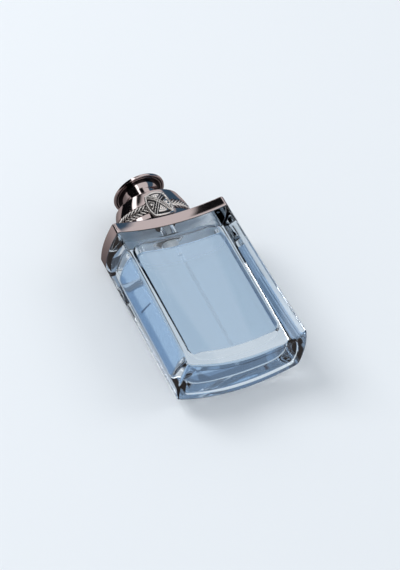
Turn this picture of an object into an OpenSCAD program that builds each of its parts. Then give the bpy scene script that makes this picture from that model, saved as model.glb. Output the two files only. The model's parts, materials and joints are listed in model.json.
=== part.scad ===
/* [Flask body] */
// Width across the front corners at the base
front_w = 66; // [60:1:70]
// Width across the front corners at the shoulder
front_w_top = 63.6; // [58:0.2:70]
// Width across the back corners
back_w = 69.6; // [66:0.2:76]
// Depth from the front corners to the back corners
corner_d = 28.8; // [27:0.2:34]
// How far the curved front is hollowed at the base
front_sag = 9; // [6:0.5:10]
// How far the curved front is hollowed at the shoulder
front_sag_top = 4.8; // [3:0.2:7]
// Belly of the curved back at the base
back_sag = 8; // [6:0.5:10]
// Belly of the curved back at the shoulder
back_sag_top = 7; // [5:0.5:9]
// Bulge of the narrow sides
side_bulge = 1.8; // [0.6:0.2:3]
// Rounding of the four upright edges
corner_r = 1.6; // [1:0.1:4]
// Rounding of the lower edge
heel_r = 1.3; // [0.8:0.1:3]
// Height of the glass from the table to the plate seam
glass_h = 88.9; // [80:0.5:100]

/* [Glass walls] */
// Thickness of the heavy base
base_t = 11.5; // [8:0.5:15]
// Thickness of the two side walls
side_wall = 7; // [4:0.5:9]
// Thickness of the front and back walls
face_wall = 4.2; // [3:0.2:5.5]
// Rounding of the inner corners
cavity_r = 6; // [4:0.5:8]
// Rounding of the inner floor edge
floor_r = 4; // [2:0.5:5]
// Height of the domed inner shoulder
dome_h = 7; // [5:0.5:9]
// Glass left between the dome and the plate seam
dome_cover = 2; // [1.5:0.5:4]
// Distance of the liquid surface below the inner shoulder
ullage = 3.5; // [2:0.5:12]
// Depth of the recess under the base
punt_depth = 1.4; // [0.8:0.2:2.4]
// Width of the heel rim around the recess
heel_rim = 4.5; // [3:0.5:6]

/* [Neck and crimp] */
// Outer diameter of the crimp neck
neck_d = 15; // [14:0.5:17]
// Bore of the neck
neck_bore = 9.2; // [8.8:0.1:10]
// Height of the neck above the plate
neck_rise = 7; // [6.4:0.2:9]
// Height of the crimp bead
bead_h = 3.6; // [3:0.2:4.4]
// Depth of the groove below the bead
bead_step = 0.9; // [0.7:0.1:1.2]
// Wall of the crimped ferrule
ferrule_wall = 0.55; // [0.4:0.05:0.7]
// Wall of the bright sleeve over the ferrule
sleeve_wall = 0.6; // [0.5:0.05:0.9]
// Thickness of the neck gasket
gasket_t = 0.6; // [0.5:0.1:1]

/* [Shoulder plate] */
// Height of the shoulder plate
plate_h = 6.6; // [5:0.2:9]
// Wall of the plate skirt
plate_wall = 1.3; // [1:0.1:2]
// Thickness of the plate top
plate_t = 1.3; // [1:0.1:2]
// Rounding of the plate top edge
plate_r = 0.7; // [0.4:0.1:1]

/* [Pump] */
// Bore of the pump chamber
chamber_d = 6.6; // [6:0.1:6.8]
// Length of the housing below its flange
housing_l = 21; // [20:0.5:24]
// Length of the tail that grips the dip tube
tail_l = 5; // [4:0.5:7]
// Outer diameter of the dip tube
tube_d = 2.4; // [2:0.1:2.8]
// Bore of the dip tube
tube_bore = 1.4; // [1:0.1:1.5]
// Gap between the dip tube and the inner floor
tube_gap = 1.5; // [1:0.5:3]
// Diameter of the inlet ball
ball_d = 2.4; // [2:0.1:2.6]
// Rise of the inlet ball
ball_lift = 0.6; // [0.4:0.1:0.8]
// Diameter of the hollow stem
stem_d = 3; // [2.8:0.1:3.4]
// Bore of the stem
stem_bore = 1.2; // [0.8:0.1:1.5]
// Height of the sliding piston
piston_h = 4; // [3:0.5:4.5]
// Depth of the turret inside the housing
turret_plug = 4.5; // [3.5:0.5:5]
// Height of the turret above the ferrule
turret_rise = 1; // [0.8:0.1:1.6]
// Diameter of the turret above the ferrule
turret_d = 9.4; // [8.6:0.2:9.8]
// Stroke of the actuator
stroke = 4; // [3:0.5:4]
// Wire of the return spring
wire_d = 0.6; // [0.5:0.05:0.7]
// Coils of the return spring
coils = 5; // [4:1:6]

/* [Actuator] */
// Diameter of the actuator
act_d = 13; // [12:0.2:13.6]
// Height of the actuator
act_h = 7.4; // [6.6:0.2:8]
// Wall of its metal shell
act_wall = 0.5; // [0.4:0.05:0.7]
// Diameter of the spray insert
nozzle_d = 4; // [3.4:0.2:4.4]
// Diameter of the spray hole
orifice_d = 0.5; // [0.3:0.1:0.8]
// Depth of the stem in the actuator
socket_h = 3; // [2.5:0.5:4]

/* [Cap] */
// Small turn of the cap about the pump
cap_turn = 2; // [-10:1:10]
// Length of the oval cap at the rope belt
belt_l = 42.4; // [38:0.2:44]
// Depth of the oval cap at the rope belt
belt_w = 26; // [25.8:0.2:28]
// Length of the foot of the cap
foot_l = 41.6; // [37:0.2:43]
// Depth of the foot of the cap
foot_w = 24; // [24:0.2:28]
// Length of the cap at the top of the plain band
band_l = 37.2; // [34:0.2:40]
// Depth of the cap at the top of the plain band
band_w = 28; // [25:0.2:29]
// Height of the foot below the rope belt
foot_h = 7; // [6:0.5:9]
// Height of the plain band
band_h = 6.8; // [5:0.2:8]
// Height of the domed deck over the band
deck_h = 1.8; // [1:0.2:3]
// Wall of the cap skirt
cap_wall = 1.6; // [1.2:0.1:2.2]
// Gap between the cap foot and the plate
cap_gap = 0.1; // [0.05:0.05:0.3]
// Diameter of the round neck of the finial
finial_neck_d = 18; // [16.8:0.2:19]
// Height of the finial neck above the deck
finial_neck_h = 4.6; // [3:0.2:7]
// Diameter of the finial disc
disc_d = 29.2; // [26:0.2:32]
// Height of the trumpet between the neck and the disc
trumpet_h = 4; // [3:0.2:6]
// Thickness of the disc rim
rim_t = 1.1; // [0.8:0.1:2]
// Width of the disc rim round the inlay
rim_w = 1.6; // [1:0.1:2.4]
// Depth of the recess for the inlay
inlay_deep = 0.8; // [0.6:0.1:1]
// Diameter of the bore above the actuator
cap_bore = 15; // [14.6:0.2:15.6]
// Clearance between the cap bore ceiling and the actuator
head_room = 4.6; // [4.4:0.2:6]
// Wall of the plastic liner that grips the sleeve
liner_wall = 1.1; // [0.9:0.1:1.4]
// Thickness of one flattened rope of the belt
rope_t = 1.9; // [1.6:0.1:2.2]
// Height of one rope of the belt
rope_h = 2.8; // [2.4:0.1:3.2]

/* [Front panel] */
// Width of the panel between its corners
panel_w = 11.6; // [11:0.2:13]
// Height of the panel between its corners
panel_h = 14.4; // [13:0.2:15]
// Outward bow of its four sides
panel_bow = 1.2; // [0.4:0.1:1.6]
// Height of the panel's middle above the lower edge of the belt
panel_up = 2.4; // [2:0.1:3]
// Radius of its curved face about the cap axis
panel_r = 14.2; // [13.6:0.1:15]
// Height of the crossing of the straps above the panel's middle
cross_up = 1.9; // [0:0.1:3]
// Width of the frame and the crossed straps
strap_w = 1.5; // [1:0.1:1.8]
// Height of the straps over the panel
strap_t = 0.7; // [0.4:0.1:1]
// Diameter of the studs in the four fields
stud_d = 1.8; // [1.2:0.1:2.2]

/* [Fits] */
// Running clearance of the piston and stem, radial
run_fit = 0.05; // [0.02:0.01:0.08]
// Seating clearance between fixed pieces
seat_fit = 0.03; // [0.02:0.01:0.08]
// Clearance between the housing and the neck, radial
neck_fit = 0.5; // [0.3:0.05:0.6]

/* [Hidden] */
$fn = 64;

// Levels, from the table up
plate_top = glass_h + plate_h;
pad_top = plate_top - plate_t;
neck_top = plate_top + neck_rise;
bead_low = neck_top - bead_h;
gasket_top = neck_top + gasket_t;
flange_t = 0.6;
flange_top = gasket_top + flange_t;
ferrule_top = flange_top + ferrule_wall;
turret_top = ferrule_top + turret_rise;
turret_low = flange_top - turret_plug;
piston_low = turret_low - piston_h;
act_low = turret_top + stroke + 0.4;
act_top = act_low + act_h;
cavity_top = glass_h - dome_cover - dome_h;
fill_top = cavity_top - ullage;
housing_low = flange_top - housing_l;
tail_low = housing_low - tail_l;
cap_low = plate_top + cap_gap;
belt_low = cap_low + foot_h;
belt_top = belt_low + 2 * rope_h + 0.1;
band_top = belt_top + band_h;
deck_top = band_top + deck_h;
finial_low = deck_top + finial_neck_h;
trumpet_top = finial_low + trumpet_h;
disc_top = trumpet_top + rim_t;

// Round sizes that follow from the ones above
neck_r = neck_d / 2;
ferrule_r = neck_r + seat_fit + ferrule_wall;
sleeve_r = ferrule_r + seat_fit + sleeve_wall;
liner_in = sleeve_r + run_fit;
liner_r = liner_in + liner_wall;
plate_hole = sleeve_r + 0.25;
chamber_r = chamber_d / 2;
stem_r = stem_d / 2;
piston_r = chamber_r - run_fit;
ball_r = ball_d / 2;
ball_cage_r = ball_r + 0.3;
ball_seat_r = ball_r * 0.75;
ball_z = housing_low + 2.2;
ball_dz = sqrt(ball_r * ball_r - ball_seat_r * ball_seat_r) + 0.02;
cage_top = ball_z + ball_lift + ball_dz;
chamber_low = cage_top + 0.8;
housing_r = neck_bore / 2 - neck_fit;
tube_r = tube_d / 2;
tail_r = tube_r + 0.9;
tube_low = base_t + tube_gap;
spring_r = chamber_r - 0.25 - wire_d / 2;
stem_head_r = spring_r - wire_d / 2 - 0.25;
turret_r = turret_d / 2;
act_r = act_d / 2;
nozzle_z = act_low + act_h / 2;
nozzle_in = stem_r + 1.8;
neck_fr = finial_neck_d / 2;
spigot_r = neck_fr - 0.4;
disc_r = disc_d / 2;
seat_a = belt_l / 2 - rope_t - 0.15;
seat_b = belt_w / 2 - rope_t - 0.15;
panel_z = belt_low + panel_up;
cap_inner_top = act_top + head_room;

// Outline of the flask at one height: half widths, depth, sags and bulge,
// drawn in from the outer skin by in_x at the sides and in_y at front and back.
// It starts and ends half way along the left side, where loft closes its end faces
front_steps = 14;
side_steps = 5;
corner_steps = 3;
function lerp(a, b, t) = a + (b - a) * t;
function bend(p, q, r, t) = lerp(lerp(p, q, t), lerp(q, r, t), t);
function edge_front(x, hf, sf, in_y) = [x, in_y + sf * (1 - pow(x / hf, 2))];
function edge_back(x, hb, d, sb, in_y) = [x, d - in_y + sb * (1 - pow(x / hb, 2))];
function edge_side(a, b, t, s, bulge) = lerp(a, b, t) + [s * bulge * 4 * t * (1 - t), 0];
function outline(hf, hb, d, sf, sb, bulge, rc, in_x = 0, in_y = 0) =
  let (
    xf = hf - in_x,
    xb = hb - in_x,
    fl = edge_front(-xf, hf, sf, in_y),
    fr = edge_front(xf, hf, sf, in_y),
    bl = edge_back(-xb, hb, d, sb, in_y),
    br = edge_back(xb, hb, d, sb, in_y),
    tc = min(0.45, rc / norm(br - fr)),
    front = [for (i = [0:front_steps]) edge_front(lerp(-xf + rc, xf - rc, i / front_steps), hf, sf, in_y)],
    right = [for (i = [0:side_steps]) edge_side(fr, br, lerp(tc, 1 - tc, i / side_steps), 1, bulge)],
    back = [for (i = [0:front_steps]) edge_back(lerp(xb - rc, -xb + rc, i / front_steps), hb, d, sb, in_y)],
    left = [for (i = [0:side_steps]) edge_side(bl, fl, lerp(tc, 1 - tc, i / side_steps), -1, bulge)],
    last_f = front[front_steps],
    last_b = back[front_steps],
    half = (side_steps + 1) / 2
  )
  concat(
    [for (i = [half:side_steps]) left[i]],
    [for (i = [1:corner_steps - 1]) bend(left[side_steps], fl, front[0], i / corner_steps)],
    front,
    [for (i = [1:corner_steps - 1]) bend(last_f, fr, right[0], i / corner_steps)],
    right,
    [for (i = [1:corner_steps - 1]) bend(right[side_steps], br, back[0], i / corner_steps)],
    back,
    [for (i = [1:corner_steps - 1]) bend(last_b, bl, left[0], i / corner_steps)],
    [for (i = [0:half - 1]) left[i]]
  );

// The flask flares towards the base, most strongly near the table
function flare(z) = 1 - pow(1 - min(1, z / glass_h), 2);
function raw_section(z, in_x, in_y, rc) =
  let (u = flare(z))
  outline(
    lerp(front_w, front_w_top, u) / 2, back_w / 2, corner_d,
    lerp(front_sag, front_sag_top, u), lerp(back_sag, back_sag_top, u),
    side_bulge, rc, in_x, in_y
  );
edge_y = [for (z = [0, glass_h]) for (p = raw_section(z, 0, 0, corner_r)) p.y];
// The model is centred between its front and its back
y_mid = (min(edge_y) + max(edge_y)) / 2;
axis_y = (corner_d + front_sag_top + back_sag_top) / 2 - y_mid;
function section(z, in_x = 0, in_y = 0, rc = corner_r) =
  [for (p = raw_section(z, in_x, in_y, rc)) [p.x, p.y - y_mid, z]];

function flat(ring) = [for (p = ring) [p.x, p.y]];

// Inner outline that closes from the cavity to the round neck bore
function neck_ring(z, w, in_x, in_y, rc, r) =
  [for (p = section(min(z, cavity_top), in_x, in_y, rc))
    let (
      v = [p.x, p.y - axis_y],
      q = v / norm(v) * r
    )
    [lerp(v.x, q.x, w), lerp(v.y, q.y, w) + axis_y, z]];

// Solid through a list of rings with the same even number of points. Strips from front to back
// close its ends, so that a hollowed outline has a hollowed end face
module loft(rings) {
  n = len(rings[0]);
  m = len(rings);
  pts = [for (r = rings) for (p = r) p];
  sides = [for (j = [0:m - 2]) for (i = [0:n - 1])
    let (
      k = (i + 1) % n,
      a = j * n,
      b = a + n
    )
    [a + i, b + i, b + k, a + k]];
  low = [for (i = [0:n / 2 - 2]) [i, i + 1, n - 2 - i, n - 1 - i]];
  high = [for (strip = low) [for (k = [3:-1:0]) strip[k] + (m - 1) * n]];
  polyhedron(points = pts, faces = concat(low, sides, high), convexity = 8);
}

module on_axis(z = 0) {
  translate([0, axis_y, z]) children();
}

module on_cap(z = 0) {
  translate([0, axis_y, z]) rotate([0, 0, cap_turn]) children();
}

module tube(r_out, r_in, z0, z1) {
  translate([0, 0, z0]) difference() {
    cylinder(r = r_out, h = z1 - z0);
    translate([0, 0, -0.5]) cylinder(r = r_in, h = z1 - z0 + 1);
  }
}

// Edge rounding: pairs of height and inset, from the flat up to the wall
function rounding(r) = [for (a = [0:30:90]) [r * (1 - cos(a)), r * (1 - sin(a))]];

// Outer skin, with the raised pad that carries the shoulder plate
module glass_outer() {
  steps = 5;
  inset = plate_wall + 0.1;
  loft(concat(
    [for (q = rounding(heel_r)) section(q[0], q[1], q[1])],
    [for (i = [1:steps]) section(lerp(heel_r, glass_h, i / steps))],
    [section(glass_h, inset, inset), section(pad_top, inset, inset)]
  ));
}

// Ring of the inner walls at one height, drawn in by inset
function inner_ring(z, inset) = section(z, side_wall + inset, face_wall + inset, cavity_r);

// Rings of the inside: rounded floor and straight walls up to z_top
function cavity_rings(z_top, film) = concat(
  [for (q = rounding(floor_r)) inner_ring(base_t + film + q[0], film + q[1])],
  [for (i = [1:3]) inner_ring(lerp(base_t + film + floor_r, z_top, i / 3), film)]
);

function dome_rings() = [for (a = [22.5:22.5:90])
  neck_ring(cavity_top + dome_h * sin(a), 1 - cos(a), side_wall, face_wall, cavity_r, neck_bore / 2 + 0.4)];

module glass_bottle() {
  color("lightblue", 0.4) difference() {
    union() {
      difference() {
        glass_outer();
        loft(concat(cavity_rings(cavity_top, 0), dome_rings()));
      }
      on_axis(pad_top - 0.5) cylinder(r = neck_r - bead_step, h = neck_top - pad_top + 0.5);
      on_axis(bead_low) cylinder(r = neck_r, h = bead_h);
    }
    on_axis(cavity_top + dome_h - 1) cylinder(r = neck_bore / 2, h = neck_top - cavity_top - dome_h + 2);
    translate([0, 0, -1]) linear_extrude(punt_depth + 1) polygon(flat(section(0, heel_rim, heel_rim)));
  }
}

module fragrance() {
  color("skyblue", 0.6) difference() {
    loft(cavity_rings(fill_top, 0.06));
    on_axis(tube_low - seat_fit) cylinder(r = tube_r + seat_fit, h = glass_h);
    on_axis(tail_low - seat_fit) cylinder(r = tail_r + seat_fit, h = glass_h);
    on_axis(housing_low - seat_fit) cylinder(r = housing_r + seat_fit, h = glass_h);
  }
}

module shoulder_plate() {
  color("rosybrown") difference() {
    loft(concat(
      [section(glass_h, 0.25, 0.25), section(glass_h + 0.25), section((glass_h + plate_top) / 2)],
      [for (i = [3:-1:0]) let (q = rounding(plate_r)[i]) section(plate_top - q[0], q[1], q[1])]
    ));
    translate([0, 0, glass_h - 1]) linear_extrude(pad_top - glass_h + 1)
      polygon(flat(section(glass_h, plate_wall, plate_wall)));
    on_axis(pad_top - 1) cylinder(r = plate_hole, h = plate_t + 2);
  }
}

module crimp_ferrule() {
  wall_in = neck_r + seat_fit;
  waist = neck_r - bead_step + 0.1;
  hole = turret_r + seat_fit;
  low = pad_top + 0.2;
  color("silver") on_axis() rotate_extrude() polygon([
    [ferrule_r, low],
    [ferrule_r, ferrule_top - 0.3],
    [ferrule_r - 0.3, ferrule_top],
    [hole, ferrule_top],
    [hole, flange_top],
    [wall_in, flange_top],
    [wall_in, bead_low - 0.05],
    [waist, bead_low - 0.7],
    [waist, bead_low - 1.1],
    [wall_in, bead_low - 1.7],
    [wall_in, low]
  ]);
}

module ferrule_sleeve() {
  low = pad_top + 0.2;
  wall_in = ferrule_r + seat_fit;
  top = ferrule_top + 0.4;
  color("silver") on_axis() rotate_extrude() polygon([
    [wall_in, low],
    [sleeve_r, low],
    [sleeve_r, top - 0.4],
    [sleeve_r - 0.4, top],
    [turret_r + 1.2, top],
    [turret_r + 1.2, ferrule_top],
    [wall_in, ferrule_top]
  ]);
}

module neck_gasket() {
  color("dimgray") on_axis() tube(neck_r - 0.1, housing_r + 0.1, neck_top, gasket_top);
}

module pump_housing() {
  cage_floor = ball_z - ball_dz;
  color("white") on_axis() difference() {
    rotate_extrude() polygon([
      [0, tail_low],
      [tail_r - 0.2, tail_low],
      [tail_r, tail_low + 0.4],
      [tail_r, housing_low],
      [housing_r, housing_low + 2.5],
      [housing_r, gasket_top],
      [neck_r - 0.1, gasket_top],
      [neck_r - 0.1, flange_top],
      [0, flange_top]
    ]);
    translate([0, 0, chamber_low]) cylinder(r = chamber_r, h = housing_l + 1);
    translate([0, 0, cage_top - 1]) cylinder(r = ball_seat_r, h = 2.5);
    translate([0, 0, cage_floor]) cylinder(r = ball_cage_r, h = cage_top - cage_floor);
    translate([0, 0, housing_low - 1]) cylinder(r = ball_seat_r, h = cage_floor - housing_low + 1.5);
    translate([0, 0, tail_low - 1]) cylinder(r = tube_r + seat_fit, h = tail_l + 1);
  }
}

module pump_turret() {
  color("white") on_axis() difference() {
    union() {
      translate([0, 0, turret_low]) cylinder(r = chamber_r - seat_fit, h = turret_plug + 0.1);
      translate([0, 0, flange_top]) cylinder(r = turret_r, h = turret_top - flange_top);
    }
    translate([0, 0, turret_low - 1]) cylinder(r = stem_r + run_fit, h = turret_top - turret_low + 2);
  }
}

module pump_stem() {
  head_h = 0.8;
  color("white") on_axis() difference() {
    union() {
      translate([0, 0, piston_low - head_h]) cylinder(r = stem_head_r, h = head_h);
      translate([0, 0, piston_low - 0.2]) cylinder(r = stem_r, h = act_low + socket_h - piston_low + 0.2);
    }
    translate([0, 0, piston_low - 2]) cylinder(d = stem_bore, h = act_top - piston_low);
  }
}

module pump_piston() {
  bore = stem_r + seat_fit;
  color("gainsboro") on_axis() rotate_extrude() polygon([
    [bore, piston_low],
    [piston_r, piston_low],
    [piston_r, piston_low + 0.8],
    [piston_r - 0.5, piston_low + 1.3],
    [piston_r - 0.5, turret_low - 1.3],
    [piston_r, turret_low - 0.8],
    [piston_r, turret_low],
    [bore, turret_low]
  ]);
}

// Helical wire with closed ends, swept ring by ring
module return_spring() {
  steps = 12;
  n = steps * coils;
  sides = 6;
  r = wire_d / 2;
  low = chamber_low + r;
  high = piston_low - r;
  rings = [for (i = [0:n]) let (
      a = 360 * i / steps,
      t = i / n,
      s = t - sin(360 * t) / 360 * 18,
      z = lerp(low, high, s)
    )
    [for (j = [0:sides - 1]) let (b = 360 * j / sides)
      [(spring_r + r * cos(b)) * cos(a), (spring_r + r * cos(b)) * sin(a), z + r * sin(b)]]];
  color("silver") on_axis() mirror([0, 1, 0]) loft(rings);
}

module inlet_ball() {
  color("silver") on_axis(ball_z) sphere(r = ball_r);
}

module dip_tube() {
  color("white") on_axis() tube(tube_r, tube_bore / 2, tube_low, housing_low - seat_fit);
}

// Cylinder that points to the front of the actuator
module to_front(r, y0, y1) {
  translate([0, -y0, nozzle_z]) rotate([90, 0, 0]) cylinder(r = r, h = y1 - y0);
}

module actuator_core() {
  r = act_r - act_wall - seat_fit;
  color("white") on_axis() difference() {
    translate([0, 0, act_low]) cylinder(r = r, h = act_h - 1.1);
    translate([0, 0, act_low - 1]) cylinder(r = stem_r + seat_fit, h = socket_h + 1);
    translate([0, 0, act_low]) cylinder(d = stem_bore, h = act_h / 2);
    to_front(nozzle_d / 2 + seat_fit, nozzle_in, act_r + 1);
    to_front(stem_bore / 2, 0, act_r);
  }
}

module actuator_shell() {
  dish_r = 18;
  color("silver") on_axis() difference() {
    union() {
      translate([0, 0, act_low]) cylinder(r = act_r, h = act_h - 0.5);
      translate([0, 0, act_top - 0.5]) cylinder(r1 = act_r, r2 = act_r - 0.5, h = 0.5);
    }
    translate([0, 0, act_low - 1]) cylinder(r = act_r - act_wall, h = act_h - 0.1);
    translate([0, 0, act_top + dish_r - 0.5]) sphere(r = dish_r, $fn = 96);
    to_front(nozzle_d / 2 + seat_fit, act_r / 2, act_r + 1);
  }
}

module spray_insert() {
  r = nozzle_d / 2;
  color("white") on_axis() difference() {
    to_front(r, nozzle_in, act_r - 0.15);
    to_front(orifice_d / 2, nozzle_in - 1, act_r + 1);
    to_front(r * 0.45, act_r - 0.6, act_r + 1);
    to_front(r * 0.6, nozzle_in - 1, nozzle_in + 0.8);
  }
}

// Oval with half axes a and b at height z
oval_n = 48;
function oval(a, b, z) = [for (i = [0:oval_n - 1]) let (t = 360 * i / oval_n) [a * cos(t), b * sin(t), z]];
function oval_flat(a, b) = [for (i = [0:oval_n - 1]) let (t = 360 * i / oval_n) [a * cos(t), b * sin(t)]];

// Skin of the oval cap: foot with a cove, seat of the belt, leaning band, domed deck
function cap_rings() =
  let (
    fa = foot_l / 2,
    fb = foot_w / 2,
    ba = belt_l / 2 - 0.5,
    bb = belt_w / 2 - 0.1,
    ta = band_l / 2,
    tb = band_w / 2,
    cove = 0.7,
    edge = 0.4,
    rim = 0.5
  )
  concat(
    [oval(fa - edge, fb - edge, cap_low), oval(fa, fb, cap_low + edge)],
    [for (i = [1:3]) let (t = i / 4, dip = cove * sin(180 * t))
      oval(fa - dip, fb - dip, lerp(cap_low + edge, belt_low - edge, t))],
    [oval(fa, fb, belt_low - edge), oval(fa - 0.3, fb - 0.3, belt_low)],
    [oval(seat_a, seat_b, belt_low), oval(seat_a, seat_b, belt_top)],
    [oval(ba - 0.3, bb - 0.3, belt_top)],
    [for (i = [0:3]) let (t = i / 4)
      oval(lerp(ba, ta, pow(t, 1.4)), lerp(bb, tb, t), lerp(belt_top + 0.3, band_top - rim, t))],
    [for (a = [0:45:90]) let (back = rim * (1 - cos(a)))
      oval(ta - back, tb - back, band_top - rim * (1 - sin(a)))],
    [for (i = [1:3]) let (t = i / 3)
      oval(lerp(ta - rim, neck_fr + 0.4, t), lerp(tb - rim, neck_fr + 0.3, t), band_top + deck_h * sin(90 * t))]
  );

hollow_a = band_l / 2 - cap_wall;
hollow_b = liner_r + 0.12;

// Outline of the panel with bowed sides, grown outwards by grow
bow_steps = 6;
function panel_outline(grow) =
  let (
    w = panel_w / 2 + grow,
    h = panel_h / 2 + grow,
    steps = [for (i = [0:bow_steps - 1]) i / bow_steps],
    rise = [for (t = steps) panel_bow * 4 * t * (1 - t)]
  )
  concat(
    [for (i = [0:bow_steps - 1]) [lerp(-w, w, steps[i]), -h - rise[i]]],
    [for (i = [0:bow_steps - 1]) [w + rise[i], lerp(-h, h, steps[i])]],
    [for (i = [0:bow_steps - 1]) [lerp(w, -w, steps[i]), h + rise[i]]],
    [for (i = [0:bow_steps - 1]) [-w - rise[i], lerp(h, -h, steps[i])]]
  );

// Panel body between the seat of the belt and a round face of radius r_out
module panel_block(r_out, fit) {
  reach = panel_h + 2 * panel_bow;
  difference() {
    intersection() {
      translate([0, 0, panel_z]) rotate([90, 0, 0]) linear_extrude(r_out + 1)
        polygon(panel_outline(fit));
      translate([0, 0, panel_z - reach]) cylinder(r = r_out, h = 2 * reach);
    }
    translate([0, 0, panel_z - reach]) linear_extrude(2 * reach)
      polygon(oval_flat(seat_a + 0.1 - fit, seat_b + 0.1 - fit));
  }
}

module cap_shell() {
  color("rosybrown") on_cap() difference() {
    loft(cap_rings());
    translate([0, 0, cap_low - 1]) linear_extrude(band_top - cap_wall - cap_low + 1)
      polygon(oval_flat(hollow_a, hollow_b));
    translate([0, 0, band_top - cap_wall - 1]) cylinder(r = spigot_r + seat_fit, h = deck_h + cap_wall + 2);
    panel_block(panel_r + 3, seat_fit);
  }
}

module cap_liner() {
  top = ferrule_top + 2.4;
  low = cap_low + 0.3;
  fit = 0.1;
  flange = 1.6;
  rib_l = hollow_a - liner_r - 1;
  color("whitesmoke") on_cap() difference() {
    union() {
      translate([0, 0, low]) cylinder(r = liner_r, h = top - low);
      translate([0, 0, low]) linear_extrude(flange) polygon(oval_flat(hollow_a - fit, hollow_b - fit));
      // Ribs that centre the liner in the long ends of the shell
      for (s = [-1, 1]) translate([s * (liner_r - 0.5) + (s < 0 ? -rib_l : 0), -0.6, low])
        cube([rib_l, 1.2, top - low]);
    }
    translate([0, 0, low - 1]) cylinder(r = liner_in, h = top - low + 2);
  }
}

module cap_finial() {
  edge = 0.3;
  bore_h = cap_inner_top - band_top + cap_wall + 1;
  color("rosybrown") on_cap() difference() {
    rotate_extrude($fn = 96) polygon(concat(
      [[0, band_top - cap_wall], [spigot_r, band_top - cap_wall], [spigot_r, deck_top], [neck_fr, deck_top]],
      [for (a = [0:9:90])
        [neck_fr + (disc_r - edge - neck_fr) * (1 - cos(a)), finial_low + trumpet_h * sin(a)]],
      [[disc_r, trumpet_top + edge], [disc_r, disc_top - edge], [disc_r - edge, disc_top], [0, disc_top]]
    ));
    translate([0, 0, band_top - cap_wall - 1]) cylinder(d = cap_bore, h = bore_h);
    translate([0, 0, disc_top - inlay_deep]) cylinder(r = disc_r - rim_w, h = 2);
  }
}

module finial_inlay() {
  color("silver") on_cap(disc_top - inlay_deep)
    cylinder(r = disc_r - rim_w - seat_fit, h = inlay_deep - 0.1);
}

// One flattened rope of the belt, parted where the front panel sits
module rope_ring(z) {
  deep = rope_t / 2;
  a = belt_l / 2 - deep;
  b = belt_w / 2 - deep;
  n = 48;
  sides = 8;
  function ring(t) = [for (j = [0:sides - 1])
    let (
      p = 360 * j / sides,
      q = [b * cos(t), a * sin(t)] / norm([b * cos(t), a * sin(t)])
    )
    [a * cos(t) + q.x * deep * cos(p), b * sin(t) + q.y * deep * cos(p), z + rope_h / 2 * sin(p)]];
  pts = [for (i = [0:n - 1]) each ring(360 * i / n)];
  difference() {
    polyhedron(points = pts, convexity = 6, faces = [for (i = [0:n - 1]) for (j = [0:sides - 1])
      let (
        here = i * sides,
        next = (i + 1) % n * sides,
        k = (j + 1) % sides
      )
      [here + j, here + k, next + k, next + j]]);
    panel_block(panel_r + 3, seat_fit);
  }
}

module rope_upper() {
  color("silver") on_cap() rope_ring(belt_top - rope_h / 2);
}

module rope_lower() {
  color("silver") on_cap() rope_ring(belt_low + rope_h / 2);
}

module front_panel() {
  color("dimgray") on_cap() panel_block(panel_r, 0);
}

// Frame and four straps raised on the panel, which cross above its middle
module panel_straps() {
  reach = panel_h + 2 * panel_bow;
  color("silver") on_cap() intersection() {
    tube(panel_r + strap_t, panel_r, panel_z - reach, panel_z + reach);
    translate([0, -panel_r / 2, panel_z]) rotate([90, 0, 0]) linear_extrude(panel_r) {
      difference() {
        polygon(panel_outline(0));
        polygon(panel_outline(-strap_w));
      }
      for (sx = [-1, 1]) for (sz = [-1, 1])
        bar([0, cross_up], [sx * (panel_w - strap_w) / 2, sz * (panel_h - strap_w) / 2]);
    }
  }
}

// Flat strap of the panel from one place to another
module bar(from, to) {
  run = to - from;
  translate(from) rotate(atan2(run.y, run.x)) translate([-strap_w / 2, -strap_w / 2])
    square([norm(run) + strap_w / 2, strap_w]);
}

// One stud in each of the four fields between the straps
module panel_studs() {
  x = (panel_w / 2 + panel_bow) * 0.62;
  edge = panel_h / 2 + panel_bow;
  color("silver") on_cap(panel_z) {
    for (s = [-1, 1]) {
      translate([0, 0, (cross_up + s * edge) / 2]) stud(panel_r);
      translate([0, 0, cross_up / 3]) rotate([0, 0, s * asin(x / panel_r)]) stud(panel_r);
    }
  }
}

// Round stud that stands on the curved panel
module stud(r) {
  translate([0, -r + 0.2, 0]) intersection() {
    sphere(d = stud_d, $fn = 24);
    translate([-stud_d, -stud_d, -stud_d]) cube([2 * stud_d, stud_d - 0.2, 2 * stud_d]);
  }
}

glass_bottle();
fragrance();
shoulder_plate();
crimp_ferrule();
ferrule_sleeve();
neck_gasket();
pump_housing();
pump_turret();
pump_stem();
pump_piston();
return_spring();
inlet_ball();
dip_tube();
actuator_core();
actuator_shell();
spray_insert();
cap_shell();
cap_liner();
cap_finial();
finial_inlay();
rope_upper();
rope_lower();
front_panel();
panel_straps();
panel_studs();
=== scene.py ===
"""Dresses the aftershave bottle: glass flask, liquid, plated plate and cap, rope belt, strapped
panel, pump and stage.

Sizes in the settings are millimetres, as a maker would give them. Meshes are made in metres in
the frame's axes: +Z up through the neck, -Y towards the hollowed front.
"""
import json
from math import asin, cos, hypot, pi, radians, sin, sqrt

import bmesh
import bpy
from bpy.props import FloatProperty, FloatVectorProperty, IntProperty, PointerProperty
from mathutils import Matrix, Vector


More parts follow.
